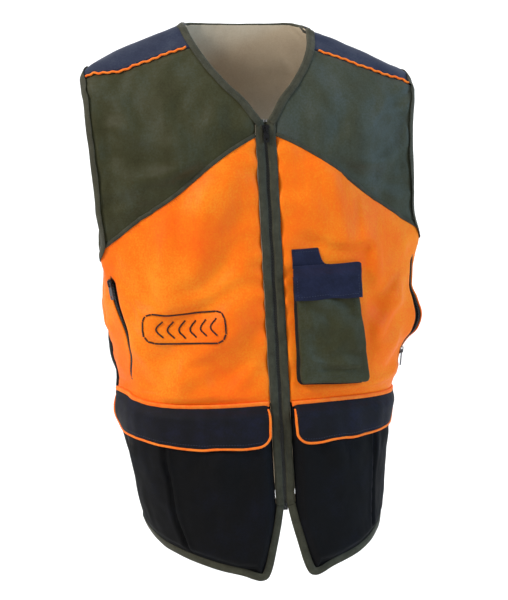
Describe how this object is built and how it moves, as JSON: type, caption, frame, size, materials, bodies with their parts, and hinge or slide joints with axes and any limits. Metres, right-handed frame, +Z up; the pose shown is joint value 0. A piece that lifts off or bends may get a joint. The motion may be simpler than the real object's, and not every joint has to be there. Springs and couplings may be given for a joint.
{
  "type": "field vest",
  "caption": "Sleeveless hip-length field vest in orange, olive and navy cloth, with a V neck, a front slide fastener, side pocket fasteners, a chest flap pocket and lower flap pockets.",
  "frame": {"origin": "midway between the two neck points, where the garment hangs on a hanger or shoulders", "axes": "+X to the wearer's left, -Y out of the front, +Z up"},
  "size_m": [0.4304, 0.2494, 0.725],
  "materials": {
    "navy_cloth": "heavy twill, matt",
    "orange_cloth": "blaze orange twill, matt",
    "olive_cloth": "olive oxford, slight sheen",
    "lining_cloth": "plain taupe lining",
    "orange_piping": "folded orange piping",
    "fastener_tape": "woven tape",
    "black_plastic": "moulded, matt",
    "dark_metal": "dark plated",
    "bright_metal": "plated",
    "grey_rubber": "moulded, matt",
    "hook_and_loop": "hook and loop"
  },
  "bodies": {
    "vest": {"armhole_binding_left": "olive_cloth", "armhole_binding_right": "olive_cloth", "back_lower_panel": "navy_cloth", "back_panel": "orange_cloth", "chest_flap_anchor": "navy_cloth", "chest_loop_patch": "hook_and_loop", "chest_panel_left": "olive_cloth", "chest_panel_right": "olive_cloth", "chest_pocket": "olive_cloth", "front_panel_left": "orange_cloth", "front_panel_right": "orange_cloth", "front_strip_left": "olive_cloth", "front_strip_right": "olive_cloth", "hem_binding_back": "olive_cloth", "hem_binding_left": "olive_cloth", "hem_binding_right": "olive_cloth", "lining_back": "lining_cloth", "lining_front_left": "lining_cloth", "lining_front_right": "lining_cloth", "lower_loop_patch_left": "hook_and_loop", "lower_loop_patch_right": "hook_and_loop", "lower_panel_left": "navy_cloth", "lower_panel_right": "navy_cloth", "lower_pocket_left": "navy_cloth", "lower_pocket_right": "navy_cloth", "neck_binding": "olive_cloth", "shoulder_piping_left": "orange_piping", "shoulder_piping_right": "orange_piping", "shoulder_yoke_left": "navy_cloth", "shoulder_yoke_right": "navy_cloth", "side_pocket_bag_left": "lining_cloth", "side_pocket_bag_right": "lining_cloth", "side_zip_tape_left": "fastener_tape", "side_zip_tape_right": "fastener_tape", "side_zip_teeth_left": "black_plastic", "side_zip_teeth_right": "black_plastic", "waist_piping_left": "orange_piping", "waist_piping_right": "orange_piping", "zip_retainer": "black_plastic", "zip_tape_left": "fastener_tape", "zip_tape_right": "fastener_tape", "zip_teeth_left": "black_plastic", "zip_teeth_right": "black_plastic", "zip_top_stop_left": "bright_metal", "zip_top_stop_right": "bright_metal"},
    "slider": {"zip_slider": "dark_metal"},
    "pull": {"zip_pull": "dark_metal"},
    "side_slider_left": {"side_zip_slider_left": "dark_metal"},
    "side_pull_left": {"side_zip_pull_left": "grey_rubber"},
    "side_slider_right": {"side_zip_slider_right": "dark_metal"},
    "side_pull_right": {"side_zip_pull_right": "grey_rubber"},
    "chest_flap": {"chest_flap": "navy_cloth", "chest_hook_patch": "hook_and_loop"},
    "flap_left": {"lower_flap_left": "navy_cloth", "lower_flap_piping_left": "orange_piping", "lower_hook_patch_left": "hook_and_loop"},
    "flap_right": {"lower_flap_right": "navy_cloth", "lower_flap_piping_right": "orange_piping", "lower_hook_patch_right": "hook_and_loop"}
  },
  "joints": [
    {"name": "main_zip", "type": "slide", "parent": "vest", "child": "slider", "axis": [0, -0.04, -0.9992], "range_m": [0, 0.483]},
    {"name": "main_pull", "type": "hinge", "parent": "slider", "child": "pull", "pos_m": [0, -0.10352, -0.13187], "axis": [-1, 0, 0], "range_deg": [0, 165]},
    {"name": "side_zip_left", "type": "slide", "parent": "vest", "child": "side_slider_left", "axis": [0.1376, 0.0189, 0.9903], "range_m": [0, 0.121]},
    {"name": "side_pull_left", "type": "hinge", "parent": "side_slider_left", "child": "side_pull_left", "pos_m": [0.18928, -0.0406, -0.44545], "axis": [-0.4167, -0.9059, 0.0752], "range_deg": [0, 165]},
    {"name": "side_zip_right", "type": "slide", "parent": "vest", "child": "side_slider_right", "axis": [0.1376, -0.0189, -0.9903], "range_m": [0, 0.121]},
    {"name": "side_pull_right", "type": "hinge", "parent": "side_slider_right", "child": "side_pull_right", "pos_m": [-0.20597, -0.0383, -0.3253], "axis": [-0.4167, 0.9059, -0.0752], "range_deg": [0, 165]},
    {"name": "chest_flap_hinge", "type": "hinge", "parent": "vest", "child": "chest_flap", "pos_m": [0.07454, -0.12305, -0.31496], "axis": [-0.9888, -0.1495, 0], "range_deg": [0, 140]},
    {"name": "flap_hinge_left", "type": "hinge", "parent": "vest", "child": "flap_left", "pos_m": [0.1112, -0.11242, -0.498], "axis": [-0.9272, -0.3746, 0], "range_deg": [0, 100]},
    {"name": "flap_hinge_right", "type": "hinge", "parent": "vest", "child": "flap_right", "pos_m": [-0.1112, -0.11242, -0.498], "axis": [-0.9272, 0.3746, 0], "range_deg": [0, 100]}
  ]
}
